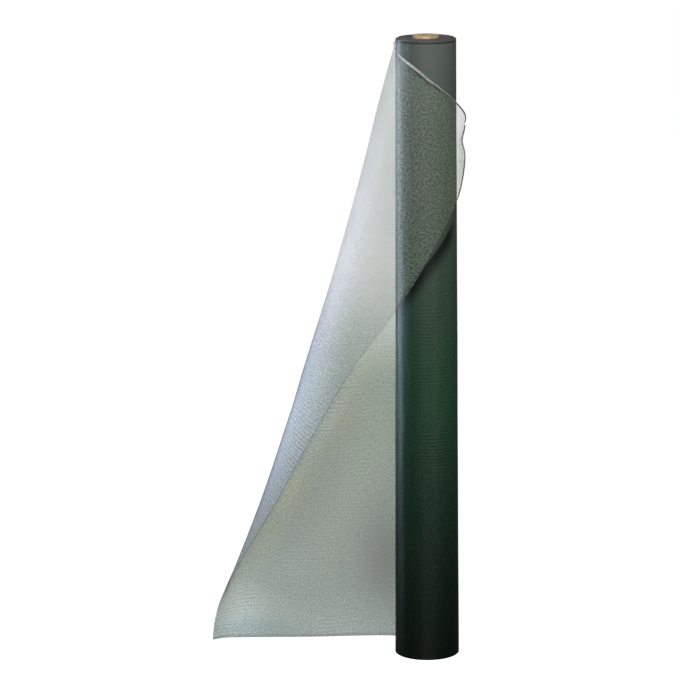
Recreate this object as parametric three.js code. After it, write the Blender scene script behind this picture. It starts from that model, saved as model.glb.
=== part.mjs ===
// A roll of fibreglass insect screen cloth, standing on its end on a cardboard core.
// Its outer turn is pulled loose at the back, folded round to the left and laid over the front.
import * as THREE from 'three';

// Sizes are in millimetres: +X to the right, +Y away from the viewer, +Z up.
// While it is built the roll's axis stands at X = 0, Y = 0, and its foot is at Z = 0.
const clothWidth = 1200;
const clothThickness = 1.2;
const seatGap = 0.3;

// The wound turns stand a little wider at the foot, where the outer turn is slack.
const roll = {
  topRadius: 57.5,
  footRadius: 62.7,
  rimDrop: 2,
  rimBand: 4,
  stepAngle: 50.5,
  stepSpread: 1,
  segments: 90,
};

const core = { radius: 25, wall: 3.5, proud: 4.5, edge: 0.6, segments: 64 };

// The loose end is a flat length of cloth: across is measured leftwards from the roll's back line,
// up from the foot selvedge. The fold runs down and outwards at this tilt from upright.
const foldTilt = THREE.MathUtils.degToRad(16.7);

// down: distance along the fold from the top; reach: how far its outer line stands out square to
// the fold's axis; bend: the radius of the turn.
const foldRows = [
  { down: -50, reach: 52.9, bend: 59.0 },
  { down: 30, reach: 51.7, bend: 59.0 },
  { down: 90, reach: 50.7, bend: 59.0 },
  { down: 160, reach: 48.6, bend: 59.0 },
  { down: 250, reach: 43.8, bend: 59.2 },
  { down: 360, reach: 40.3, bend: 59.6 },
  { down: 500, reach: 38.6, bend: 60.2 },
  { down: 650, reach: 40.3, bend: 60.8 },
  { down: 800, reach: 41.3, bend: 61.0 },
  { down: 950, reach: 46.1, bend: 59.0 },
  { down: 1100, reach: 57.8, bend: 56.0 },
  { down: 1300, reach: 79.7, bend: 48.0 },
];

// up: height in the flat cloth; length: where the shears left the cut end, wandering as it went.
const cutRows = [
  { up: -50, length: 419.8 },
  { up: 80, length: 419.1 },
  { up: 200, length: 413.1 },
  { up: 350, length: 396.6 },
  { up: 500, length: 377.5 },
  { up: 650, length: 366.7 },
  { up: 750, length: 370.2 },
  { up: 850, length: 372.0 },
  { up: 950, length: 367.6 },
  { up: 1050, length: 369.7 },
  { up: 1150, length: 365.2 },
  { up: 1250, length: 360.3 },
];

// across: place in the flat cloth; away: how far the foot stands off behind the roll.
const footRows = [
  { across: -35, away: 0 },
  { across: 0, away: 11 },
  { across: 30, away: 23 },
  { across: 70, away: 34 },
  { across: 130, away: 34.5 },
  { across: 200, away: 31 },
  { across: 320, away: 29.8 },
  { across: 500, away: 29 },
];

// across: place in the flat cloth; drop: how far the top selvedge is curled down.
const selvedgeRows = [
  { across: 0, drop: 0 },
  { across: 100, drop: 3.0 },
  { across: 170, drop: 2.6 },
  { across: 210, drop: 8.1 },
  { across: 250, drop: 12.6 },
  { across: 290, drop: 16.0 },
  { across: 330, drop: 16.2 },
  { across: 370, drop: 16.5 },
  { across: 400, drop: 16.2 },
];
const curlDepth = 300;

// The front layer lies on the roll, then stands off its right side in an open curve with one dent.
const front = { clearance: 1.6, leaveAngle: THREE.MathUtils.degToRad(15.2), openRadius: 80.3 };
const dent = { height: 1002.8, halfHeight: 18, depth: 7, from: 55, fade: 15 };

// On the roll's left the sheet comes off the turns this softly.
const easing = { depth: 1.5, reach: 15 };

// crowding: over 1, the sheet's columns lie closer together where it leaves the turns.
const grid = { hugColumns: 9, looseColumns: 27, rows: 50, crowding: 1.15 };

// Smooth curve through one column of a table.
function curveThrough(rows, key, column) {
  const last = rows.length - 1;
  const slopes = rows.map((_, i) => {
    const before = rows[Math.max(i - 1, 0)];
    const after = rows[Math.min(i + 1, last)];
    return (after[column] - before[column]) / (after[key] - before[key]);
  });
  return (at) => {
    const x = THREE.MathUtils.clamp(at, rows[0][key], rows[last][key]);
    const i = Math.min(rows.findLastIndex((row) => row[key] <= x), last - 1);
    const step = rows[i + 1][key] - rows[i][key];
    const u = (x - rows[i][key]) / step;
    const rise = u * u * (3 - 2 * u);
    const leaving = u * (1 - u) * (1 - u) * step * slopes[i];
    const arriving = u * u * (u - 1) * step * slopes[i + 1];
    return rows[i][column] + rise * (rows[i + 1][column] - rows[i][column]) + leaving + arriving;
  };
}

const foldReach = curveThrough(foldRows, 'down', 'reach');
const foldBend = curveThrough(foldRows, 'down', 'bend');
const cutLength = curveThrough(cutRows, 'up', 'length');
const footAway = curveThrough(footRows, 'across', 'away');
const selvedgeDrop = curveThrough(selvedgeRows, 'across', 'drop');

// The roll's outer radius at a height.
function rollRadius(height) {
  const share = THREE.MathUtils.clamp(height / clothWidth, 0, 1);
  return THREE.MathUtils.lerp(roll.footRadius, roll.topRadius, share);
}

// The wound turns' outline is a spiral. It grows by one turn's thickness from the step, where the
// loose end lies on it, back to the step: share is how much of the way round has gone by.
const turnThickness = clothThickness + seatGap;
const stepAngle = THREE.MathUtils.degToRad(roll.stepAngle);
const wayRound = 2 * Math.PI - THREE.MathUtils.degToRad(roll.stepSpread);

function spiralRadius(height, share) {
  return rollRadius(height) - turnThickness * (1 - share);
}

// The middle of the loose end where it still lies on the turns, an angle to the right of the back.
function huggingRadius(height, angle) {
  return spiralRadius(height, (stepAngle - angle) / wayRound) + seatGap + clothThickness / 2;
}

// The fold: a back layer, a turn of the bend radius and a front layer, before either meets the roll.
function foldedPoint(across, up) {
  const sin = Math.sin(foldTilt);
  const cos = Math.cos(foldTilt);
  const outward = across * cos + (up - clothWidth) * sin;
  const down = across * sin - (up - clothWidth) * cos;
  const bend = foldBend(down);
  const start = foldReach(down) - bend;
  const turn = THREE.MathUtils.clamp((outward - start) / bend, 0, Math.PI);
  const past = Math.max(outward - start - Math.PI * bend, 0);
  const offset = turn === 0 ? outward : start + bend * Math.sin(turn) - past;
  const height = clothWidth - down * cos + offset * sin;
  const widening = rollRadius(height) - roll.topRadius;
  const toFront = (1 - Math.cos(turn)) / 2;
  const backPlane = huggingRadius(clothWidth, 0);
  const frontPlane = -(roll.topRadius + front.clearance);
  const x = -down * sin - offset * cos - widening * Math.sin(turn) * cos;
  const y = THREE.MathUtils.lerp(backPlane, frontPlane, toFront) + widening * Math.cos(turn);
  return { x, y, z: height, turn, toFront };
}

// On its left side the roll pushes the cloth out, wherever the fold would cut into the turns.
function pushOut(point) {
  const distance = Math.hypot(point.x, point.y);
  const behind = huggingRadius(point.z, Math.atan2(point.x, point.y));
  const ahead = rollRadius(point.z) + front.clearance;
  const least = THREE.MathUtils.lerp(behind, ahead, point.toFront);
  const ease = easing.depth * THREE.MathUtils.smoothstep(-point.x, 0, easing.reach);
  const near = Math.max(ease - Math.abs(distance - least), 0);
  const push = Math.max(least - distance, 0) + (near === 0 ? 0 : (near * near) / (4 * ease));
  point.x *= 1 + push / distance;
  point.y *= 1 + push / distance;
}

// Behind the roll the cloth hugs it.
function hugBack(point) {
  const angle = point.x / rollRadius(point.z);
  const radius = huggingRadius(point.z, angle);
  point.x = radius * Math.sin(angle);
  point.y = radius * Math.cos(angle);
}

// The back layer's foot stands away behind the roll, more towards the floor.
function standAway(point, across) {
  const share = THREE.MathUtils.clamp(1 - point.z / clothWidth, 0, 1);
  point.y += footAway(across) * share * (1 - point.toFront);
}

// In front the cloth goes round the roll as far as the leaving angle, then opens out.
function wrapFront(point) {
  const radius = rollRadius(point.z) + front.clearance;
  const held = Math.min(point.x / radius, front.leaveAngle);
  const opened = front.leaveAngle + Math.max(point.x - front.leaveAngle * radius, 0) / front.openRadius;
  const across = Math.sin(opened) - Math.sin(front.leaveAngle);
  const back = Math.cos(front.leaveAngle) - Math.cos(opened);
  point.x = radius * Math.sin(held) + front.openRadius * across;
  point.y = -radius * Math.cos(held) + front.openRadius * back;
  const inDent = Math.exp(-(((point.z - dent.height) / dent.halfHeight) ** 2));
  point.x -= dent.depth * inDent * THREE.MathUtils.clamp((point.x - dent.from) / dent.fade, 0, 1);
}

// Where the middle of the loose end lies, for a place in the flat cloth.
function clothPoint(across, up) {
  const curled = THREE.MathUtils.clamp((up - clothWidth + curlDepth) / curlDepth, 0, 1) ** 2;
  const point = foldedPoint(across, up - selvedgeDrop(across) * curled);
  if (point.x < 0) {
    pushOut(point);
  } else if (point.turn > Math.PI / 2) {
    wrapFront(point);
  } else {
    hugBack(point);
  }
  standAway(point, across);
  return new THREE.Vector3(point.x, point.y, point.z);
}

function clothNormal(across, up) {
  const nudge = 0.5;
  const sideways = clothPoint(across + nudge, up).sub(clothPoint(across - nudge, up));
  const upwards = clothPoint(across, up + nudge).sub(clothPoint(across, up - nudge));
  return sideways.cross(upwards).normalize();
}

// The flat cloth's place for a column and a row of the grid.
function flatPlace(column, row) {
  const up = (clothWidth * row) / grid.rows;
  if (column <= grid.hugColumns) {
    const start = -stepAngle * rollRadius(up);
    return { across: start * (1 - column / grid.hugColumns), up };
  }
  const share = (column - grid.hugColumns) / grid.looseColumns;
  return { across: cutLength(up) * share ** grid.crowding, up };
}

// The loose end as one closed sheet: an outer and an inner skin joined round their rim.
function looseEndGeometry() {
  const columns = grid.hugColumns + grid.looseColumns;
  const positions = [];
  for (const side of [0.5, -0.5]) {
    for (let row = 0; row <= grid.rows; row += 1) {
      for (let column = 0; column <= columns; column += 1) {
        const { across, up } = flatPlace(column, row);
        const point = clothPoint(across, up);
        point.addScaledVector(clothNormal(across, up), side * clothThickness);
        positions.push(point.x, point.y, row === 0 ? 0 : point.z);
      }
    }
  }
  const skin = (grid.rows + 1) * (columns + 1);
  const outer = (row, column) => row * (columns + 1) + column;
  const inner = (row, column) => skin + outer(row, column);
  const faces = [];
  const quad = (a, b, c, d) => faces.push(a, b, c, a, c, d);
  for (let row = 0; row < grid.rows; row += 1) {
    for (let column = 0; column < columns; column += 1) {
      const next = column + 1;
      const above = row + 1;
      quad(outer(row, next), outer(above, next), outer(above, column), outer(row, column));
      quad(inner(above, column), inner(above, next), inner(row, next), inner(row, column));
    }
  }
  for (let column = 0; column < columns; column += 1) {
    const next = column + 1;
    quad(outer(0, column), inner(0, column), inner(0, next), outer(0, next));
    quad(outer(grid.rows, next), inner(grid.rows, next), inner(grid.rows, column), outer(grid.rows, column));
  }
  for (let row = 0; row < grid.rows; row += 1) {
    const above = row + 1;
    quad(outer(above, 0), inner(above, 0), inner(row, 0), outer(row, 0));
    quad(outer(row, columns), inner(row, columns), inner(above, columns), outer(above, columns));
  }
  return meshGeometry(positions, faces);
}

function meshGeometry(positions, faces) {
  const geometry = new THREE.BufferGeometry();
  geometry.setAttribute('position', new THREE.Float32BufferAttribute(positions, 3));
  geometry.setIndex(faces);
  geometry.computeVertexNormals();
  return geometry;
}

// The wound turns as one solid of spiral outline, with the outermost turns slipped down a little.
function windingGeometry() {
  const rimTop = clothWidth - roll.rimDrop;
  const spiral = (height, inset) => (share) => ({ radius: spiralRadius(height, share) - inset, height });
  const bore = (height) => () => ({ radius: core.radius + seatGap, height });
  const rings = [
    spiral(0, 0),
    spiral(rimTop, 0),
    spiral(rimTop, roll.rimBand),
    spiral(clothWidth, roll.rimBand),
    bore(clothWidth),
    bore(0),
  ];
  const positions = [];
  for (const ring of rings) {
    for (let i = 0; i < roll.segments; i += 1) {
      const share = i / (roll.segments - 1);
      const angle = stepAngle - share * wayRound;
      const { radius, height } = ring(share);
      positions.push(radius * Math.sin(angle), radius * Math.cos(angle), height);
    }
  }
  const faces = [];
  rings.forEach((_, ring) => {
    const next = ((ring + 1) % rings.length) * roll.segments;
    for (let i = 0; i < roll.segments; i += 1) {
      const a = ring * roll.segments + i;
      const b = ring * roll.segments + ((i + 1) % roll.segments);
      const c = next + ((i + 1) % roll.segments);
      const d = next + i;
      faces.push(a, b, c, a, c, d);
    }
  });
  return meshGeometry(positions, faces);
}

// The core: a plain tube with slightly eased edges, standing proud of the wound turns at the top.
function coreGeometry() {
  const top = clothWidth + core.proud;
  const inside = core.radius - core.wall;
  const profile = [
    new THREE.Vector2(inside, 0),
    new THREE.Vector2(core.radius, 0),
    new THREE.Vector2(core.radius, top - core.edge),
    new THREE.Vector2(core.radius - core.edge, top),
    new THREE.Vector2(inside + core.edge, top),
    new THREE.Vector2(inside, top - core.edge),
    new THREE.Vector2(inside, 0),
  ];
  return new THREE.LatheGeometry(profile, core.segments).rotateX(Math.PI / 2);
}

function namedMesh(name, geometry, look) {
  const mesh = new THREE.Mesh(geometry, new THREE.MeshStandardMaterial(look));
  mesh.name = name;
  return mesh;
}

// The part's origin is the middle of its foot: the centre of the box round the standing roll.
function centredOnFoot(meshes) {
  const group = new THREE.Group();
  group.add(...meshes);
  const box = new THREE.Box3().setFromObject(group, true);
  const centre = box.getCenter(new THREE.Vector3());
  group.position.set(-centre.x, -centre.y, -box.min.z);
  return group;
}

export default centredOnFoot([
  namedMesh('core', coreGeometry(), { color: 0xc2a581, roughness: 0.9, metalness: 0 }),
  namedMesh('winding', windingGeometry(), { color: 0x2c4034, roughness: 0.65, metalness: 0 }),
  namedMesh('loose_end', looseEndGeometry(), { color: 0x9fb0a6, roughness: 0.6, metalness: 0 }),
]);
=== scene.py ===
# Looks for the roll of insect screen cloth: its loose end, its wound turns and its cardboard core.
import math

import bpy
import numpy as np
from mathutils import Matrix, Vector


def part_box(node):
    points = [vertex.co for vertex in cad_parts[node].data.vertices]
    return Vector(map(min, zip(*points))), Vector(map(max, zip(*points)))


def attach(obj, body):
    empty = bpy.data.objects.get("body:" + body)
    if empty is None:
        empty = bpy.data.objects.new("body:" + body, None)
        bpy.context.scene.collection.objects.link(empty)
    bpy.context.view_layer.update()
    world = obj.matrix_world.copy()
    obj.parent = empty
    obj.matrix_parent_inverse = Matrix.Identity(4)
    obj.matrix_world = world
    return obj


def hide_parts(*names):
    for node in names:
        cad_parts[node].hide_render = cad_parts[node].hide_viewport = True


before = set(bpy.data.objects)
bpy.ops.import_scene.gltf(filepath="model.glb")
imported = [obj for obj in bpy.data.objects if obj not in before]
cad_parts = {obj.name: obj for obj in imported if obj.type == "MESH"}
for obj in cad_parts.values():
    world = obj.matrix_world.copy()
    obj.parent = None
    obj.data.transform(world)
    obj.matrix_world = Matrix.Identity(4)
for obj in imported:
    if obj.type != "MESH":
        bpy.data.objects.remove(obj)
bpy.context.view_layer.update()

# The roll's axis in the row frame. Below, a place given from the roll's axis has X and Y measured
# from it and Z from the floor. All sizes are in metres.
core_low, core_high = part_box("core")
AXIS = np.array([(core_low[0] + core_high[0]) / 2, (core_low[1] + core_high[1]) / 2, 0.0])

# Camera: the place and the lens of the photograph.
CAMERA_AT = (-0.1648, -5.8, 1.882)
CAMERA_DOWN = 12.261
CAMERA_ROLL = -0.472
CAMERA_LENS = 164.48

camera_data = bpy.data.cameras.new("camera")
camera_data.lens = CAMERA_LENS
camera_data.sensor_width = 36.0
camera_data.clip_start = 0.1
camera_data.clip_end = 100.0
camera = bpy.data.objects.new("camera", camera_data)
bpy.context.scene.collection.objects.link(camera)
camera.matrix_world = (
    Matrix.Translation(Vector(AXIS.tolist()) + Vector(CAMERA_AT))
    @ Matrix.Rotation(math.radians(90 - CAMERA_DOWN), 4, "X")
    @ Matrix.Rotation(math.radians(CAMERA_ROLL), 4, "Z")
)
bpy.context.scene.camera = camera


# Small tools for tables, meshes and shaders.
def smooth_table(rows):
    """A smooth curve through rows of (key, value)."""
    keys = np.array([row[0] for row in rows], float)
    values = np.array([row[1] for row in rows], float)
    last = len(rows) - 1
    before = [max(i - 1, 0) for i in range(last + 1)]
    after = [min(i + 1, last) for i in range(last + 1)]
    slopes = (values[after] - values[before]) / (keys[after] - keys[before])

    def at(place):
        x = np.clip(place, keys[0], keys[last])
        i = np.clip(np.searchsorted(keys, x, side="right") - 1, 0, last - 1)
        step = keys[i + 1] - keys[i]
        u = (x - keys[i]) / step
        rise = u * u * (3 - 2 * u)
        leaving = u * (1 - u) ** 2 * step * slopes[i]
        arriving = u * u * (u - 1) * step * slopes[i + 1]
        return values[i] + rise * (values[i + 1] - values[i]) + leaving + arriving

    return at


def hump(x):
    """A soft rise and fall: 1 at 0, near 0 past 2."""
    return np.exp(-(x**2))


def ramp(x, start, end):
    """0 before start, 1 after end, smooth between."""
    u = np.clip((x - start) / (end - start), 0, 1)
    return u * u * (3 - 2 * u)


def mesh_piece(name, points, quads, maps=None, materials=(), slots=None):
    """A piece of quads. maps has UV maps by name, each with a place for every vertex."""
    mesh = bpy.data.meshes.new(name)
    mesh.from_pydata(np.asarray(points).tolist(), [], np.asarray(quads).tolist())
    corners = np.zeros(len(mesh.loops), int)
    mesh.loops.foreach_get("vertex_index", corners)
    for map_name, places in (maps or {}).items():
        layer = mesh.uv_layers.new(name=map_name)
        layer.data.foreach_set("uv", np.asarray(places, float)[corners].ravel())
    for material in materials:
        mesh.materials.append(material)
    if slots is not None:
        mesh.polygons.foreach_set("material_index", np.asarray(slots, np.int32))
    mesh.polygons.foreach_set("use_smooth", [True] * len(mesh.polygons))
    mesh.update()
    piece = bpy.data.objects.new(name, mesh)
    bpy.context.scene.collection.objects.link(piece)
    return piece


def grid_quads(rows, columns, closed=False):
    """Quads of a grid whose vertices run along each row. closed joins the last column to the first."""
    across = columns if closed else columns - 1
    row, column = np.meshgrid(np.arange(rows - 1), np.arange(across), indexing="ij")
    here = row * columns + column
    right = row * columns + (column + 1) % columns
    return np.stack([here, right, right + columns, here + columns], -1).reshape(-1, 4)


class Shader:
    """Builds one material's nodes."""

    def __init__(self, name):
        self.material = bpy.data.materials.new(name)
        self.material.use_nodes = True
        self.tree = self.material.node_tree
        self.tree.nodes.clear()

    def node(self, kind, inputs=None, **settings):
        made = self.tree.nodes.new(kind)
        for key, value in settings.items():
            setattr(made, key, value)
        for key, value in (inputs or {}).items():
            self.feed(made.inputs[key], value)
        return made

    def feed(self, socket, value):
        if isinstance(value, bpy.types.NodeSocket):
            self.tree.links.new(value, socket)
        else:
            socket.default_value = value

    def math(self, operation, *values):
        made = self.node("ShaderNodeMath", operation=operation)
        for socket, value in zip(made.inputs, values):
            self.feed(socket, value)
        return made.outputs[0]

    def uv(self, name):
        uv_map = self.node("ShaderNodeUVMap", uv_map=name)
        split = self.node("ShaderNodeSeparateXYZ", {0: uv_map.outputs[0]})
        return split.outputs[0], split.outputs[1]

    def place(self, x, y, z=0.0):
        return self.node("ShaderNodeCombineXYZ", {0: x, 1: y, 2: z}).outputs[0]

    def noise(self, place, scale, detail=2.0):
        inputs = {"Vector": place, "Scale": scale, "Detail": detail, "Roughness": 0.5}
        return self.node("ShaderNodeTexNoise", inputs).outputs[0]

    def between(self, value, low, high, out_low=0.0, out_high=1.0, kind="SMOOTHSTEP"):
        made = self.node("ShaderNodeMapRange", interpolation_type=kind)
        for socket, number in zip(made.inputs, (value, low, high, out_low, out_high)):
            self.feed(socket, number)
        return made.outputs[0]

    def mix(self, share, first, second):
        made = self.node("ShaderNodeMix", data_type="RGBA")
        self.feed(made.inputs[0], share)
        self.feed(made.inputs[6], first)
        self.feed(made.inputs[7], second)
        return made.outputs[2]

    def scaled(self, colour, amount):
        grey = self.node("ShaderNodeCombineColor", {0: amount, 1: amount, 2: amount})
        return self.multiplied(colour, grey.outputs[0])

    def multiplied(self, first, second):
        made = self.node("ShaderNodeMix", data_type="RGBA", blend_type="MULTIPLY")
        self.feed(made.inputs[0], 1.0)
        self.feed(made.inputs[6], first)
        self.feed(made.inputs[7], second)
        return made.outputs[2]

    def bump(self, height, strength, distance):
        made = self.node("ShaderNodeBump", {"Height": height, "Strength": strength, "Distance": distance})
        return made.outputs[0]

    def finish(self, **sockets):
        """Ends in one Principled shader. Sockets are given with _ for each space."""
        main = self.node("ShaderNodeBsdfPrincipled")
        for key, value in sockets.items():
            self.feed(main.inputs[key.replace("_", " ")], value)
        end = self.node("ShaderNodeOutputMaterial")
        self.tree.links.new(main.outputs[0], end.inputs[0])
        return self.material


# The weave: 18 threads an inch across and 16 an inch up, each 0.28 mm thick.
WARP_PITCH = 0.0254 / 18
WEFT_PITCH = 0.0254 / 16
THREAD = 0.00028

# The loose cloth's threads: above; below half height behind, in painted shade, and in front, painted lit;
# and in the fold, with a painted bluish highlight.
SHEET_HIGH = (0.195, 0.225, 0.180, 1)
SHEET_LOW = (0.34, 0.395, 0.31, 1)
SHEET_FRONT_LIT = (0.42, 0.46, 0.45, 1)
SHEET_FOLD_HIGHLIGHT = (0.50, 0.54, 0.585, 1)


def thread_lines(shader, along, pitch, width):
    """1 on a thread, 0 between threads, with a soft edge."""
    turn = shader.math("FRACT", shader.math("DIVIDE", along, pitch))
    off = shader.math("ABSOLUTE", shader.math("SUBTRACT", turn, 0.5))
    half = width / pitch / 2
    return shader.between(off, half * 0.8, half * 1.2, 1.0, 0.0)


def faint_lines(shader, along, pitch, place, bend, spread):
    """Soft wavering lines, from -1 to 1, a pitch apart. bend is how far they wander."""
    wander = shader.math("MULTIPLY", shader.math("SUBTRACT", shader.noise(place, spread, 3.0), 0.5), bend)
    phase = shader.math("MULTIPLY", shader.math("ADD", along, wander), 2 * math.pi / pitch)
    return shader.math("SINE", phase)


def soft_band(shader, along, at, half):
    """1 at a place along one way, falling softly to both sides."""
    off = shader.math("DIVIDE", shader.math("SUBTRACT", along, at), half)
    return shader.math("POWER", math.e, shader.math("MULTIPLY", shader.math("MULTIPLY", off, off), -1.0))


def soft_spot(shader, u, v, at_u, at_v, slant, half_length, half_width):
    """1 in the middle of a slanted soft ellipse, falling to 0 outside it."""
    c, s = math.cos(math.radians(slant)), math.sin(math.radians(slant))
    aside_u = shader.math("SUBTRACT", u, at_u)
    aside_v = shader.math("SUBTRACT", v, at_v)
    along_u = shader.math("MULTIPLY", aside_u, c)
    along = shader.math("MULTIPLY_ADD", aside_v, s, along_u)
    across_v = shader.math("MULTIPLY", aside_v, c)
    across = shader.math("MULTIPLY_ADD", aside_u, -s, across_v)
    lengthways = soft_band(shader, along, 0.0, half_length)
    sideways = soft_band(shader, across, 0.0, half_width)
    return shader.math("MULTIPLY", lengthways, sideways)


# The loose end: the same surface as the CAD sheet's middle.
CLOTH_WIDTH = 1.2
CLOTH_THICKNESS = 0.0012
SEAT_GAP = 0.0003
TURN = CLOTH_THICKNESS + SEAT_GAP
ROLL_TOP, ROLL_FOOT = 0.0575, 0.0627
STEP_ANGLE = math.radians(50.5)
WAY_ROUND = 2 * math.pi - math.radians(1)
FOLD_TILT = math.radians(16.7)
FRONT_CLEARANCE = 0.0016
LEAVE_ANGLE = math.radians(15.2)
OPEN_RADIUS = 0.0803
CURL_DEPTH = 0.3
EASING = 0.0015
EASING_REACH = 0.015

# A dent in the opened part of the front layer, near the top.
DENT_DEPTH = 0.007
DENT_HEIGHT = 1.0028
DENT_HALF = 0.018
DENT_START = 0.055
DENT_RISE = 0.015

# The fold: (place down the roll, how far the fold reaches out, its bending radius).
FOLD = [
    (-0.05, 0.0529, 0.0590),
    (0.03, 0.0517, 0.0590),
    (0.09, 0.0507, 0.0590),
    (0.16, 0.0486, 0.0590),
    (0.25, 0.0438, 0.0592),
    (0.36, 0.0403, 0.0596),
    (0.50, 0.0386, 0.0602),
    (0.65, 0.0403, 0.0608),
    (0.80, 0.0413, 0.0610),
    (0.95, 0.0461, 0.0590),
    (1.10, 0.0578, 0.0560),
    (1.30, 0.0797, 0.0480),
]
fold_reach = smooth_table([(row[0], row[1]) for row in FOLD])
fold_bend = smooth_table([(row[0], row[2]) for row in FOLD])

# The cut edge: (height in the flat cloth, length of the loose end there).
CUT = [
    (-0.05, 0.4198),
    (0.08, 0.4191),
    (0.20, 0.4131),
    (0.35, 0.3966),
    (0.50, 0.3775),
    (0.65, 0.3667),
    (0.75, 0.3702),
    (0.85, 0.3720),
    (0.95, 0.3676),
    (1.05, 0.3697),
    (1.15, 0.3652),
    (1.25, 0.3603),
]

# The back layer's foot: (place across, how far it stands away behind).
FOOT = [
    (-0.035, 0),
    (0, 0.011),
    (0.03, 0.023),
    (0.07, 0.034),
    (0.13, 0.0345),
    (0.2, 0.031),
    (0.32, 0.0298),
    (0.5, 0.029),
]

# The top selvedge: (place across, how far it hangs down).
SELVEDGE = [
    (0, 0),
    (0.10, 0.0030),
    (0.17, 0.0026),
    (0.21, 0.0081),
    (0.25, 0.0126),
    (0.29, 0.0160),
    (0.33, 0.0162),
    (0.37, 0.0165),
    (0.40, 0.0162),
]

cut_length = smooth_table(CUT)
foot_away = smooth_table(FOOT)
selvedge_drop = smooth_table(SELVEDGE)


def roll_radius(height):
    share = np.clip(height / CLOTH_WIDTH, 0, 1)
    return ROLL_FOOT + (ROLL_TOP - ROLL_FOOT) * share


def spiral_radius(height, share):
    return roll_radius(height) - TURN * (1 - share)


def hugging_radius(height, angle):
    return spiral_radius(height, (STEP_ANGLE - angle) / WAY_ROUND) + SEAT_GAP + CLOTH_THICKNESS / 2


def cloth_points(across, up):
    """Places of the loose end from the roll's axis, for places in the flat cloth."""
    curled = np.clip((up - CLOTH_WIDTH + CURL_DEPTH) / CURL_DEPTH, 0, 1) ** 2
    v = up - selvedge_drop(across) * curled
    sin, cos = math.sin(FOLD_TILT), math.cos(FOLD_TILT)
    outward = across * cos + (v - CLOTH_WIDTH) * sin
    down = across * sin - (v - CLOTH_WIDTH) * cos
    bend = fold_bend(down)
    start = fold_reach(down) - bend
    turn = np.clip((outward - start) / bend, 0, math.pi)
    past = np.maximum(outward - start - math.pi * bend, 0)
    offset = np.where(turn == 0, outward, start + bend * np.sin(turn) - past)
    z = CLOTH_WIDTH - down * cos + offset * sin
    widening = roll_radius(z) - ROLL_TOP
    to_front = (1 - np.cos(turn)) / 2
    back_plane = hugging_radius(CLOTH_WIDTH, 0.0)
    front_plane = -(ROLL_TOP + FRONT_CLEARANCE)
    x = -down * sin - offset * cos - widening * np.sin(turn) * cos
    y = back_plane + (front_plane - back_plane) * to_front + widening * np.cos(turn)
    front = turn > math.pi / 2

    # On its left side the roll pushes the cloth out, wherever the fold would cut into the turns.
    distance = np.hypot(x, y)
    behind = hugging_radius(z, np.arctan2(x, y))
    ahead = roll_radius(z) + FRONT_CLEARANCE
    least = behind + (ahead - behind) * to_front
    ease = EASING * ramp(-x, 0.0, EASING_REACH) + 1e-9
    near = np.maximum(ease - np.abs(distance - least), 0)
    push = np.where(x < 0, np.maximum(least - distance, 0) + near**2 / (4 * ease), 0)
    x = x * (1 + push / distance)
    y = y * (1 + push / distance)

    # Behind the roll the cloth hugs it.
    angle = x / roll_radius(z)
    behind = hugging_radius(z, angle)
    hug = ~front & (x > 0)
    back_x = np.where(hug, behind * np.sin(angle), x)
    back_y = np.where(hug, behind * np.cos(angle), y)

    # In front it goes round the roll as far as the leaving angle, then opens out.
    radius = roll_radius(z) + FRONT_CLEARANCE
    held = np.minimum(x / radius, LEAVE_ANGLE)
    opened = LEAVE_ANGLE + np.maximum(x - LEAVE_ANGLE * radius, 0) / OPEN_RADIUS
    wrap_x = radius * np.sin(held) + OPEN_RADIUS * (np.sin(opened) - math.sin(LEAVE_ANGLE))
    wrap_y = -radius * np.cos(held) + OPEN_RADIUS * (math.cos(LEAVE_ANGLE) - np.cos(opened))
    dent = DENT_DEPTH * hump((z - DENT_HEIGHT) / DENT_HALF)
    dent *= np.clip((wrap_x - DENT_START) / DENT_RISE, 0, 1)
    wrap = front & (x > 0)
    front_x = np.where(wrap, wrap_x - dent, x)
    front_y = np.where(wrap, wrap_y, y)

    # The back layer's foot stands away behind the roll, more towards the floor.
    away = foot_away(across) * np.clip(1 - z / CLOTH_WIDTH, 0, 1) * (1 - to_front)
    return np.stack([np.where(front, front_x, back_x), np.where(front, front_y, back_y) + away, z], -1)


def cloth_frame(across, up):
    """Places, unit directions up the cloth, and unit normals away from the fold's inside."""
    nudge = 0.0005
    sideways = cloth_points(across + nudge, up) - cloth_points(across - nudge, up)
    upwards = cloth_points(across, up + nudge) - cloth_points(across, up - nudge)
    normal = np.cross(sideways, upwards)
    normal /= np.linalg.norm(normal, axis=-1, keepdims=True)
    upwards /= np.linalg.norm(upwards, axis=-1, keepdims=True)
    return cloth_points(across, up), upwards, normal


# Soft ridges and troughs: (across, up, slant in degrees, half length, half width, height).
CREASES = [
    (0.300, 0.090, 25, 0.110, 0.022, 0.0016),
    (0.330, 0.040, 12, 0.120, 0.018, -0.0014),
    (0.120, 0.180, 80, 0.100, 0.020, 0.0018),
    (0.060, 0.120, 82, 0.090, 0.016, -0.0014),
    (0.150, 0.420, 74, 0.160, 0.022, 0.0010),
    (0.300, 0.560, 72, 0.200, 0.020, -0.0008),
    (0.260, 1.140, 4, 0.060, 0.010, 0.0010),
]
CREASE_START = 0.03
CREASE_FULL = 0.09


def crease_height(across, up):
    """How far the creases lift the cloth. They begin clear of the roll's back."""
    total = np.zeros_like(across)
    for at_across, at_up, slant, half_length, half_width, height in CREASES:
        c, s = math.cos(math.radians(slant)), math.sin(math.radians(slant))
        du, dv = across - at_across, up - at_up
        along, aside = du * c + dv * s, dv * c - du * s
        total += height * hump(along / half_length) * hump(aside / half_width)
    return total * ramp(across, CREASE_START, CREASE_FULL)


SHEET_COLUMNS = 130
HUG_COLUMNS = 16
SHEET_ROWS = 280
CURL_ROWS = 14
CURL_TURN = 4.6
CURL_TIGHTENING = 0.25

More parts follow.
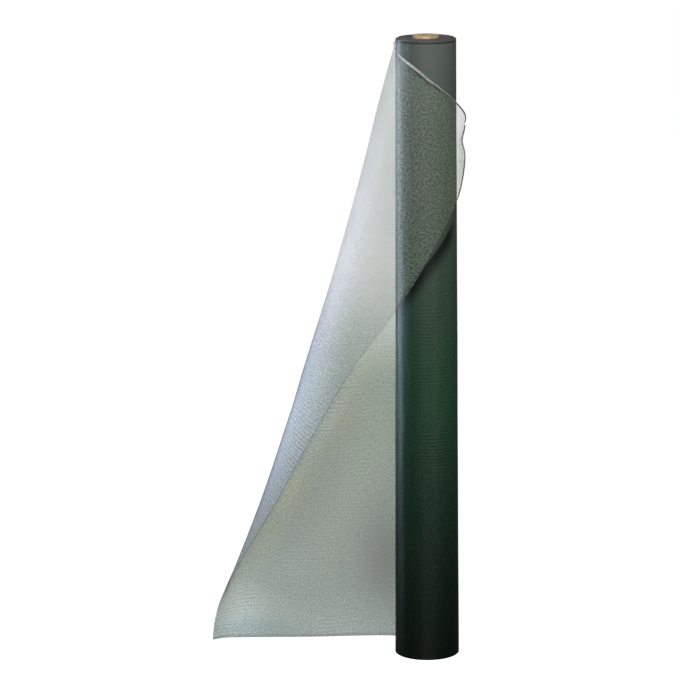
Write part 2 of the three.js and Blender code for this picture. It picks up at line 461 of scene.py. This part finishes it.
# The curled top selvedge: (place across, radius of the curl).
CURL = [
    (-0.05, 0.0004),
    (0.11, 0.0008),
    (0.135, 0.0024),
    (0.16, 0.0032),
    (0.21, 0.0030),
    (0.24, 0.0016),
    (0.39, 0.0010),
]
curl_radius = smooth_table(CURL)

# The part of the flat cloth's plane that the map OFBake covers.
FLAT_LOW = np.array([-0.060, -0.005])
FLAT_HIGH = np.array([0.430, 1.225])


def build_loose_mesh(material):
    share = np.linspace(0, 1, SHEET_ROWS)
    columns = np.arange(HUG_COLUMNS + SHEET_COLUMNS + 1)
    rows_up = []
    rows_across = []
    for level in share:
        up = level * CLOTH_WIDTH
        start = -STEP_ANGLE * roll_radius(up)
        hugging = start * (1 - columns / HUG_COLUMNS)
        loose = cut_length(up) * (columns - HUG_COLUMNS) / SHEET_COLUMNS
        across = np.where(columns <= HUG_COLUMNS, hugging, loose)
        top = CLOTH_WIDTH - curl_radius(across)
        rows_up.append(np.full(len(columns), level) * top)
        rows_across.append(across)
    across = np.array(rows_across)
    up = np.array(rows_up)
    points, _, normals = cloth_frame(across, up)
    points += normals * crease_height(across, up)[..., None]
    points[0, :, 2] = 0.0
    flat = np.stack([across, up], -1)

    # The top selvedge curls over outwards.
    edge_points, edge_up, edge_normals = cloth_frame(across[-1], up[-1])
    radius = curl_radius(across[-1])[:, None]
    curled = []
    curled_flat = []
    for step in range(1, CURL_ROWS + 1):
        angle = CURL_TURN * step / CURL_ROWS
        tight = radius * (1 - CURL_TIGHTENING * step / CURL_ROWS)
        swing = edge_up * math.sin(angle) + edge_normals * -math.cos(angle)
        curled.append(edge_points + edge_normals * radius + swing * tight)
        curled_flat.append(np.stack([across[-1], up[-1] + radius[:, 0] * angle], -1))
    points = np.concatenate([points, np.array(curled)])
    flat = np.concatenate([flat, np.array(curled_flat)])

    rows, width = points.shape[:2]
    places = flat.reshape(-1, 2)
    baked = (places - FLAT_LOW) / (FLAT_HIGH - FLAT_LOW)
    return mesh_piece(
        "loose_mesh",
        points.reshape(-1, 3) + AXIS,
        grid_quads(rows, width),
        {"OFBake": baked},
        [material],
    )


# Soft tinted areas of the loose cloth, in flat places: (across, up, slant, half length, half width,
# what the colour is multiplied by). Most are painted light and shade: lighter patches along the cut
# edge and near the foot, where the fold shades the cloth, and a painted shadow of the roll beside it
# near the foot. A few are colour shifts.
PAINTED_LIGHT_TINTS = [
    (0.105, 0.560, 90, 0.160, 0.055, (1.02, 1.03, 0.84)),
    (0.168, 0.450, -60, 0.055, 0.018, (1.15, 1.06, 0.85)),
    (0.215, 0.372, -60, 0.045, 0.020, (1.04, 1.08, 0.88)),
    (0.262, 0.305, -60, 0.045, 0.020, (1.32, 1.20, 0.92)),
    (0.310, 0.215, -60, 0.060, 0.024, (1.12, 1.10, 0.92)),
    (0.072, 0.165, 90, 0.110, 0.064, (0.35, 0.39, 0.35)),
    (0.290, 0.160, 0, 0.070, 0.050, (1.20, 1.24, 1.32)),
    (0.196, 0.430, -60, 0.130, 0.016, (1.42, 1.36, 1.62)),
    (0.165, 0.152, 2, 0.014, 0.004, (1.10, 0.78, 0.90)),
    (0.165, 0.126, 2, 0.014, 0.004, (0.74, 0.96, 0.93)),
    (0.200, 0.010, 0, 0.400, 0.085, (1.42, 1.46, 1.74)),
    (0.340, 0.022, 0, 0.070, 0.014, (0.78, 0.95, 0.97)),
    (0.385, 0.070, -75, 0.075, 0.060, (2.45, 2.30, 2.55)),
    (0.300, 0.240, -60, 0.150, 0.040, (1.30, 1.27, 1.25)),
    (0.356, 1.110, 90, 0.090, 0.026, (0.98, 1.04, 0.66)),
]

# A soft place at the free corner that is filled too, and how much.
CORNER_FILM = (0.356, 1.125, 90, 0.100, 0.026)
CORNER_FILLED = 0.32

# The dark part of the fold near the foot.
DARK_FOLD = (0.3985, 0.132, -73, 0.028, 0.010)
DARK_FOLD_COLOUR = (0.020, 0.032, 0.028, 1)

# Painted shade: a fill that closes the weave starts at one height and is full at another, lower one, so
# the cloth reads darker towards the foot.
SHADE_FILM_START = 0.80
SHADE_FILM_FULL = 0.50
SHADE_FILM_FILLED = 0.78
FOOT_EDGE_FILLED = 0.85
RIPPLE_FILLED = 0.012
RIPPLE_SHADE = 0.11

# The fold's line: how far out a flat place lies is across * OUT_ACROSS + up * OUT_UP + OUT_START.
OUT_ACROSS = 0.958
OUT_UP = 0.287
OUT_START = -0.345
FOLD_OUTLINE = 0.074
FOLD_HIGHLIGHT_BAND = 0.094

STRAND_PITCH = 0.0024
STRAND_PALE = (0.40, 0.38, 0.36, 1)
STRAND_DARK = (0.05, 0.045, 0.04, 1)
PLAIN = (1, 1, 1, 1)


def cloth_ripple(s, u, v, place):
    """Soft wavering bands, from -1 to 1: level in some patches, slanted in others."""
    level = faint_lines(s, v, 0.0074, place, 0.030, 7.0)
    slant = s.math("MULTIPLY_ADD", u, 0.7, v)
    slanted = faint_lines(s, slant, 0.0070, place, 0.024, 9.0)
    patches = s.between(s.noise(place, 9.0), 0.42, 0.58)
    level = s.math("MULTIPLY", level, patches)
    slanted = s.math("MULTIPLY", slanted, s.math("SUBTRACT", 1.0, patches))
    return s.math("MULTIPLY_ADD", slanted, 0.8, level)


def cloth_cover(s, u, v, ripple, edge_top, dark_fold):
    """How much of the cloth is closed: its threads, a fill that paints shade towards the foot, its edges
    and the dark fold.
    """
    warp = thread_lines(s, u, WARP_PITCH, THREAD)
    weft = thread_lines(s, v, WEFT_PITCH, THREAD)
    # Painted shade: the weave fills in towards the foot, darkening the cloth there.
    shade_fill = s.between(v, SHADE_FILM_START, SHADE_FILM_FULL, 0.0, SHADE_FILM_FILLED)
    corner_film = s.math("MULTIPLY", soft_spot(s, u, v, *CORNER_FILM), CORNER_FILLED)
    shade_fill = s.math("MAXIMUM", shade_fill, corner_film)
    fill = s.math("MULTIPLY_ADD", ripple, RIPPLE_FILLED, shade_fill)
    edge_foot = s.between(v, 0.004, 0.0055, FOOT_EDGE_FILLED, 0.0)
    cover = s.math("MAXIMUM", warp, weft)
    for share in (fill, edge_foot, edge_top, dark_fold):
        cover = s.math("MAXIMUM", cover, share)
    return s.math("MINIMUM", cover, 1.0)


def layer_colour(s, u, v, outward):
    """Painted light on the cloth's layers: the front layer is painted lighter and bluer than the back
    layer in its shade, and the fold has a painted bluish highlight, most at half height; fold and front
    get painted shade towards the foot, and the painted light and shade patches are laid on.
    """
    low = s.mix(s.between(outward, 0.10, 0.16), SHEET_LOW, SHEET_FRONT_LIT)
    colour = s.mix(s.between(v, 0.85, 0.55), SHEET_HIGH, low)
    # Painted highlight: a bluish band along the fold.
    highlight_width = s.between(v, 0.55, 0.74, 0.034, 0.056)
    fold_highlight = soft_band(s, outward, FOLD_HIGHLIGHT_BAND, highlight_width)
    mid_height = s.math("MULTIPLY", s.between(v, 0.10, 0.45), s.between(v, 1.15, 0.75))
    colour = s.mix(s.math("MULTIPLY", fold_highlight, mid_height), colour, SHEET_FOLD_HIGHLIGHT)
    # Painted shade: the fold and the front layer are darker towards the foot.
    fold_level = s.between(v, 0.28, 0.50, 0.74, 1.04)
    front_level = s.between(v, 0.38, 0.66, 0.76, 1.02)
    fold_painted_shade = s.mix(s.between(outward, 0.03, 0.09), PLAIN, fold_level)
    front_painted_shade = s.mix(s.between(outward, 0.10, 0.15), PLAIN, front_level)
    colour = s.multiplied(s.multiplied(colour, fold_painted_shade), front_painted_shade)
    # Painted light and shade patches, and a few colour shifts.
    for at_u, at_v, slant, half_length, half_width, tint in PAINTED_LIGHT_TINTS:
        spot = soft_spot(s, u, v, at_u, at_v, slant, half_length, half_width)
        colour = s.multiplied(colour, s.mix(spot, PLAIN, tint + (1,)))
    return colour


def strand_colour(s, u, v):
    """The curled selvedge is a taupe band of a few strands, dark where it is worn."""
    turn = s.math("MULTIPLY", v, 2 * math.pi / STRAND_PITCH)
    strands = s.math("MULTIPLY_ADD", s.math("SINE", turn), 0.5, 0.5)
    drawn_out = s.place(u, s.math("MULTIPLY", v, 4.0))
    worn = s.between(s.noise(drawn_out, 160.0), 0.35, 0.65)
    return s.mix(s.math("MULTIPLY", strands, worn), STRAND_PALE, STRAND_DARK)


def sheet_material():
    s = Shader("loose_mesh_weave")
    raw_u, raw_v = s.uv("OFBake")
    u = s.math("MULTIPLY_ADD", raw_u, float(FLAT_HIGH[0] - FLAT_LOW[0]), float(FLAT_LOW[0]))
    v = s.math("MULTIPLY_ADD", raw_v, float(FLAT_HIGH[1] - FLAT_LOW[1]), float(FLAT_LOW[1]))
    place = s.place(u, v)
    ripple = cloth_ripple(s, u, v, place)
    edge_top = s.between(v, 1.1965, 1.1985)
    dark_fold = s.math("MULTIPLY", soft_spot(s, u, v, *DARK_FOLD), 1.2)
    dark_fold = s.math("MINIMUM", dark_fold, 0.9)
    alpha = cloth_cover(s, u, v, ripple, edge_top, dark_fold)

    up_part = s.math("MULTIPLY_ADD", v, OUT_UP, OUT_START)
    outward = s.math("MULTIPLY_ADD", u, OUT_ACROSS, up_part)
    colour = layer_colour(s, u, v, outward)
    colour = s.mix(dark_fold, colour, DARK_FOLD_COLOUR)

    # A darker line goes along the fold, and another along the foot.
    outline = soft_band(s, outward, FOLD_OUTLINE, 0.015)
    along_fold = s.math("MULTIPLY", outline, s.between(v, 0.09, 0.14))
    colour = s.mix(along_fold, colour, s.scaled(colour, 0.50))
    colour = s.mix(s.between(v, 0.0075, 0.0055), colour, s.scaled(colour, 0.78))

    # The grain is stronger high up, where the painted-shade fill is absent.
    grain = s.between(s.noise(place, 240.0, 1.0), 0.30, 0.70, -1.0, 1.0, "LINEAR")
    depth = s.between(v, 0.60, 0.86, 0.26, 0.75)
    colour = s.scaled(colour, s.math("MULTIPLY_ADD", grain, depth, 1.0))
    colour = s.scaled(colour, s.math("MULTIPLY_ADD", ripple, RIPPLE_SHADE, 1.0))
    colour = s.mix(edge_top, colour, strand_colour(s, u, v))
    return s.finish(Base_Color=colour, Roughness=0.5, Alpha=alpha)


# The wound turns, with the CAD winding's spiral outline.
# Painted shade: the dark seen in the holes between the threads.
ROLL_HOLE_SHADE = (0.010, 0.038, 0.019, 1)
ROLL_THREAD = (0.034, 0.110, 0.060, 1)
# Painted light: the paler grey the turns take on high up, where the lamps light them most.
ROLL_TOP_LIGHT = (0.122, 0.138, 0.124, 1)
# A painted shadow for the dark line under the rim, and the pale selvedge with a painted highlight.
RIM_SHADOW_LINE = (0.030, 0.034, 0.030, 1)
RIM_SELVEDGE_HIGHLIGHT = (0.10, 0.095, 0.10, 1)
END_DARK = (0.045, 0.037, 0.037, 1)
END_PALE = (0.095, 0.080, 0.080, 1)
ROLL_SEGMENTS = 240
ROLL_ROWS = 220
RIM_DROP = 0.002
RIM_BAND = 0.004
RIM_STEPS = 5
END_STEPS = 25
END_UNEVEN = 0.0007
BORE = 0.0253

# The cut edge's line on the turns, in the weave's map: height = around * UNDER_SLOPE + UNDER_START.
UNDER_SLOPE = 1.17
UNDER_START = 0.482

# The height in the weave's map of all that lies past the outer turn's top.
PAST_TOP = CLOTH_WIDTH + 0.01


def roll_ring(angle, radius, height):
    return np.stack([radius * np.sin(angle), radius * np.cos(angle), np.full_like(angle, height)], -1)


def slack(angle, height):
    """How far the outer turn stands off in slack ripples. It never adds to the radius."""
    waves = np.sin(angle * 3 + height * 9) + 0.6 * np.sin(angle * 7 - height * 23 + 1.3)
    return -0.00012 * (1.6 + waves) * ramp(height, 0.0, 0.05)


def build_wound_turns(material, end_material):
    rings = []
    rim_top = CLOTH_WIDTH - RIM_DROP
    heights = np.linspace(0, rim_top, ROLL_ROWS)
    share = np.linspace(0, 1, ROLL_SEGMENTS)
    angle = STEP_ANGLE - share * WAY_ROUND
    for height in heights:
        rings.append(roll_ring(angle, spiral_radius(height, share) + slack(angle, height), height))
    inset = np.linspace(0, RIM_BAND, RIM_STEPS)[1:]
    for depth in inset:
        rings.append(roll_ring(angle, spiral_radius(rim_top, share) - depth, rim_top))
    steps = np.linspace(0, 1, END_STEPS)
    rng = np.random.default_rng(7)
    rises = rng.uniform(-END_UNEVEN, 0.0, len(steps))
    rises[0] = 0.0
    outer = spiral_radius(CLOTH_WIDTH, share) - RIM_BAND
    for step, rise in zip(steps, rises):
        rings.append(roll_ring(angle, outer * (1 - step) + BORE * step, CLOTH_WIDTH + rise))
    rings.append(roll_ring(angle, np.full_like(share, BORE), 0.0))
    rings.append(rings[0])
    levels = [*heights, *[PAST_TOP] * (len(inset) + len(steps)), 0.0, 0.0]
    points = np.array(rings)
    around, level = np.meshgrid(share * WAY_ROUND * ROLL_FOOT, levels)
    maps = np.stack([around, level], -1)
    quads = grid_quads(len(rings), ROLL_SEGMENTS, closed=True)
    ring_of_quad = np.arange(len(quads)) // ROLL_SEGMENTS
    last_end = ROLL_ROWS - 1 + len(inset) + len(steps)
    ends = (ring_of_quad >= ROLL_ROWS - 1) & (ring_of_quad < last_end)
    slots = ends.astype(np.int32)
    return mesh_piece(
        "wound_turns",
        points.reshape(-1, 3) + AXIS,
        quads[:, ::-1],
        {"weave": maps.reshape(-1, 2)},
        [material, end_material],
        slots,
    )


def wound_material():
    s = Shader("wound_mesh_layers")
    u, v = s.uv("weave")
    place = s.place(u, v)
    warp = thread_lines(s, u, WARP_PITCH, THREAD)
    weft = thread_lines(s, v, WEFT_PITCH, THREAD)
    # Painted highlight and shade: fine lighter and darker lines on slack ripples, only in the band at the
    # front where the lamps' highlight falls.
    lines = faint_lines(s, v, 0.0066, place, 0.016, 11.0)
    patches = s.between(s.noise(place, 11.0), 0.40, 0.62)
    middle = s.math("MULTIPLY", s.between(u, 0.215, 0.245), s.between(u, 0.330, 0.285))
    ripple = s.math("MULTIPLY", s.math("MULTIPLY", lines, patches), middle)
    cover = s.math("MAXIMUM", warp, weft)
    # Between the threads the colour is the painted shade of the deep holes.
    colour = s.mix(s.math("MULTIPLY_ADD", cover, 0.7, 0.15), ROLL_HOLE_SHADE, ROLL_THREAD)
    colour = s.scaled(colour, s.math("MULTIPLY_ADD", ripple, 0.38, 1.0))
    # Painted shade: the turns are darker towards the foot.
    colour = s.scaled(colour, s.between(v, 0.0, 0.5, 0.16, 1.0, "LINEAR"))
    grain = s.between(s.noise(place, 260.0, 1.0), 0.25, 0.75, 0.50, 1.50, "LINEAR")
    colour = s.scaled(colour, grain)
    # Painted light: the turns are painted paler and greyer towards the top.
    colour = s.mix(s.between(v, 0.5, 1.25), colour, ROLL_TOP_LIGHT)

    # A painted shadow of the loose cloth's cut edge lies on the turns under it.
    edge_height = s.math("MULTIPLY_ADD", u, UNDER_SLOPE, UNDER_START)
    under = s.math("SUBTRACT", v, edge_height)
    shade = s.math("MULTIPLY", s.between(under, -0.050, -0.006), s.between(under, 0.008, 0.0))
    reach = s.math("MULTIPLY", s.between(u, 0.135, 0.160), s.between(u, 0.330, 0.300))
    colour = s.mix(s.math("MULTIPLY", shade, reach), colour, s.scaled(colour, 0.10))

    # The outer turn ends at the top in a pale rim, the selvedge with a painted highlight, over a dark
    # line of painted shadow.
    colour = s.mix(s.between(v, 1.1925, 1.1935), colour, RIM_SHADOW_LINE)
    colour = s.mix(s.between(v, 1.1960, 1.1970), colour, RIM_SELVEDGE_HIGHLIGHT)
    speckle = s.noise(place, 330.0, 1.0)
    height = s.math("ADD", s.math("MULTIPLY", s.math("ADD", warp, weft), 0.3), speckle)
    return s.finish(
        Base_Color=colour,
        Roughness=0.55,
        Specular_IOR_Level=0.35,
        Anisotropic=1.0,
        Anisotropic_Rotation=0.25,
        Normal=s.bump(height, 0.6, 0.0006),
    )


def wound_end_material():
    s = Shader("wound_mesh_ends")
    at = s.node("ShaderNodeTexCoord").outputs["Object"]
    fine = s.noise(at, 500.0, 2.0)
    colour = s.mix(s.between(fine, 0.3, 0.7), END_DARK, END_PALE)
    return s.finish(Base_Color=colour, Roughness=0.8)


# The cardboard core.
BOARD_DARK = (0.42, 0.29, 0.17, 1)
BOARD_PALE = (0.62, 0.47, 0.31, 1)
CORE_RADIUS = 0.025
CORE_WALL = 0.0035
CORE_TOP = 1.2045
CORE_EDGE = 0.0006


def build_core_tube(material):
    outside, inside = CORE_RADIUS, CORE_RADIUS - CORE_WALL
    profile = [(inside, 0.0), (outside, 0.0)]
    profile += [(outside, z) for z in np.linspace(0.02, CORE_TOP - CORE_EDGE, 40)]
    profile += [(outside - CORE_EDGE, CORE_TOP), ((outside + inside) / 2, CORE_TOP - 0.0001)]
    profile += [(inside + CORE_EDGE, CORE_TOP), (inside, CORE_TOP - CORE_EDGE)]
    profile += [(inside, z) for z in np.linspace(CORE_TOP - 0.02, 0.02, 40)]
    profile.append((inside, 0.0))
    angle = np.linspace(0, 2 * math.pi, 128, endpoint=False)
    points = np.array(
        [np.stack([r * np.cos(angle), r * np.sin(angle), np.full_like(angle, z)], -1) for r, z in profile]
    )
    quads = grid_quads(len(profile), len(angle), closed=True)
    return mesh_piece("core_tube", points.reshape(-1, 3) + AXIS, quads, None, [material])


def core_material():
    s = Shader("core_board_paper")
    at = s.node("ShaderNodeTexCoord").outputs["Object"]
    grain = s.noise(at, 180.0, 4.0)
    blotch = s.noise(at, 22.0, 2.0)
    colour = s.mix(s.between(grain, 0.35, 0.65), BOARD_DARK, BOARD_PALE)
    colour = s.scaled(colour, s.between(blotch, 0.3, 0.7, 0.85, 1.12))
    height = s.node("ShaderNodeSeparateXYZ", {0: at}).outputs[2]
    # Painted shade: the tube is darker below its top edge, as inside the shaded bore.
    colour = s.scaled(colour, s.between(height, 1.190, 1.203, 0.25, 1.0))
    return s.finish(Base_Color=colour, Roughness=0.85, Normal=s.bump(grain, 0.3, 0.0003))


# Threads along the cut edge, with a few frayed ends. Thread sizes are radii. Near the top selvedge
# SELVEDGE_THREAD is added to the edge's thread.
WORN_DARK = (0.030, 0.026, 0.030, 1)
WORN_PALE = (0.20, 0.175, 0.165, 1)
EDGE_INSET = 0.0006
EDGE_THREAD = 0.00028
SELVEDGE_THREAD = 0.0010
FRAYED_ENDS = 30
FRAYED_THREAD = 0.00018
CROSSING_THREAD = 0.00022

# Loose threads beside the top left of the selvedge: (place across, length, slope).
CROSSING = [(0.098, 0.011, -0.5), (0.112, 0.016, 0.4), (0.122, 0.009, 0.9), (0.135, 0.013, -0.2)]


def thread_tube(path, radius, sides=5):
    ahead = np.gradient(path, axis=0)
    ahead /= np.linalg.norm(ahead, axis=1, keepdims=True)
    side = np.cross(ahead, (0.0, 1.0, 0.0))
    side /= np.linalg.norm(side, axis=1, keepdims=True)
    lift = np.cross(side, ahead)
    turn = 2 * math.pi * np.arange(sides) / sides
    thick = np.broadcast_to(radius, len(path))[:, None, None]
    ring = np.cos(turn)[None, :, None] * side[:, None] + np.sin(turn)[None, :, None] * lift[:, None]
    return (path[:, None] + thick * ring).reshape(-1, 3), grid_quads(len(path), sides, closed=True)


def build_edge_threads(material):
    rng = np.random.default_rng(11)
    up = np.linspace(0.003, 1.192, 600)
    waver = 0.0003 * np.sin(up * 310) + 0.0002 * np.sin(up * 127 + 1)
    edge, _, normal = cloth_frame(cut_length(up) - EDGE_INSET + waver, up)
    thick = EDGE_THREAD + SELVEDGE_THREAD * ramp(up, 0.98, 1.06)
    parts = [thread_tube(edge + normal * thick[:, None], thick)]
    along = np.linspace(0, 1, 6)
    for at in rng.uniform(0.06, 1.12, FRAYED_ENDS):
        length = rng.uniform(0.003, 0.009)
        slope = rng.uniform(-0.9, 0.9)
        place, _, away = cloth_frame(cut_length(at) + length * along, at + length * slope * along)
        bent = away * 0.002 * along[:, None] ** 2 * rng.uniform(-1, 1)
        parts.append(thread_tube(place + bent, FRAYED_THREAD))
    for at, length, slope in CROSSING:
        place, _, away = cloth_frame(at + slope * length * along, CLOTH_WIDTH + length * along - 0.002)
        parts.append(thread_tube(place + away * 0.004 * along[:, None], CROSSING_THREAD))
    points = []
    quads = []
    for part_points, part_quads in parts:
        quads.append(part_quads + sum(len(p) for p in points))
        points.append(part_points)
    places = np.concatenate(points) + AXIS
    return mesh_piece("edge_threads", places, np.concatenate(quads), None, [material])


def edge_thread_material():
    s = Shader("edge_thread_worn")
    at = s.node("ShaderNodeTexCoord").outputs["Object"]
    share = s.between(s.noise(at, 34.0, 2.0), 0.44, 0.56)
    colour = s.mix(share, WORN_DARK, WORN_PALE)
    return s.finish(Base_Color=colour, Roughness=0.7)


wound = build_wound_turns(wound_material(), wound_end_material())
loose = build_loose_mesh(sheet_material())
tube = build_core_tube(core_material())
threads = build_edge_threads(edge_thread_material())

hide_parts("winding")
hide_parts("loose_end")
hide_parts("core")
for piece in (wound, loose, tube, threads):
    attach(piece, "root")


# The floor and the far backdrop, plain and pale. They show white to the camera and light nothing.
def pale_material(name, glow):
    material = bpy.data.materials.new(name)
    material.use_nodes = True
    main = material.node_tree.nodes["Principled BSDF"]
    main.inputs["Base Color"].default_value = (0.8, 0.8, 0.8, 1)
    main.inputs["Roughness"].default_value = 1.0
    main.inputs["Specular IOR Level"].default_value = 0.0
    main.inputs["Emission Color"].default_value = (1, 1, 1, 1)
    main.inputs["Emission Strength"].default_value = glow
    return material


def stage_piece(name, points, quads, material):
    piece = mesh_piece(name, points, quads, None, [material])
    piece.visible_diffuse = False
    piece.visible_glossy = False
    return piece


FLOOR_HALF = 14.0
WALL_SIDES = 64
WALL_HEIGHTS = (-6.0, 14.0)
floor_corners = [(x * FLOOR_HALF, y * FLOOR_HALF, 0) for x, y in ((-1, -1), (1, -1), (1, 1), (-1, 1))]
stage_piece("floor", floor_corners, [(0, 1, 2, 3)], pale_material("floor_pale", 0.94))
turns = np.linspace(0, 2 * math.pi, WALL_SIDES, endpoint=False)
wall = [(FLOOR_HALF * math.cos(a), FLOOR_HALF * math.sin(a), z) for z in WALL_HEIGHTS for a in turns]
wall_quads = grid_quads(2, WALL_SIDES, closed=True)
backdrop = stage_piece("backdrop", wall, wall_quads, pale_material("backdrop_pale", 1.0))
backdrop.visible_shadow = False


# Lights: (name, place from the roll's axis, aim, width, height, spread in degrees, watts, colour,
# what alone it lights).
LIGHTS = [
    ("key_high", (0.246, -0.918, 2.10), (0, 0, 0.9), 0.5, 0.5, 180, 7.0, (1.0, 0.98, 0.92), None),
    ("front_high", (-0.270, -1.530, 2.50), (0, 0, 1.0), 0.6, 0.6, 180, 20.0, (0.96, 0.98, 1.0), None),
    ("front_low", (1.033, -1.942, 0.80), (0, 0, 0.6), 0.4, 1.4, 180, 14.0, (0.84, 1.0, 0.86), loose),
    ("front_right", (0.720, -1.430, 2.10), (0, 0, 0.9), 0.5, 0.8, 180, 7.0, (0.88, 1.0, 0.78), wound),
    ("front_mid", (0.860, -1.300, 0.70), (0, 0, 0.55), 0.6, 0.3, 34, 0.32, (1.0, 0.82, 0.84), wound),
    ("left_front", (-1.545, -0.414, 1.50), (0, 0, 0.7), 0.5, 1.2, 180, 35.0, (0.76, 0.81, 1.0), loose),
    ("left_back", (-1.000, 0.715, 1.20), (0, 0, 0.85), 0.50, 0.5, 54, 3.8, (0.64, 0.78, 1.0), wound),
]
for name, at, aim, width, height, spread, watts, colour, only in LIGHTS:
    data = bpy.data.lights.new(name, "AREA")
    data.shape = "RECTANGLE"
    data.size = width
    data.size_y = height
    data.spread = math.radians(spread)
    data.energy = watts
    data.color = colour
    lamp = bpy.data.objects.new(name, data)
    lamp.location = Vector(AXIS.tolist()) + Vector(at)
    lamp.rotation_euler = (Vector(aim) - Vector(at)).to_track_quat("-Z", "Y").to_euler()
    bpy.context.scene.collection.objects.link(lamp)
    if only is not None:
        lit = bpy.data.collections.new(name + "_lights")
        lit.objects.link(only)
        lamp.light_linking.receiver_collection = lit
        lamp.light_linking.blocker_collection = lit

world = bpy.data.worlds.new("studio")
world.use_nodes = True
world.node_tree.nodes["Background"].inputs[0].default_value = (0.9, 0.95, 1.0, 1)
world.node_tree.nodes["Background"].inputs[1].default_value = 0.10
bpy.context.scene.world = world
bpy.context.scene.view_settings.view_transform = "Standard"
bpy.context.scene.view_settings.look = "None"
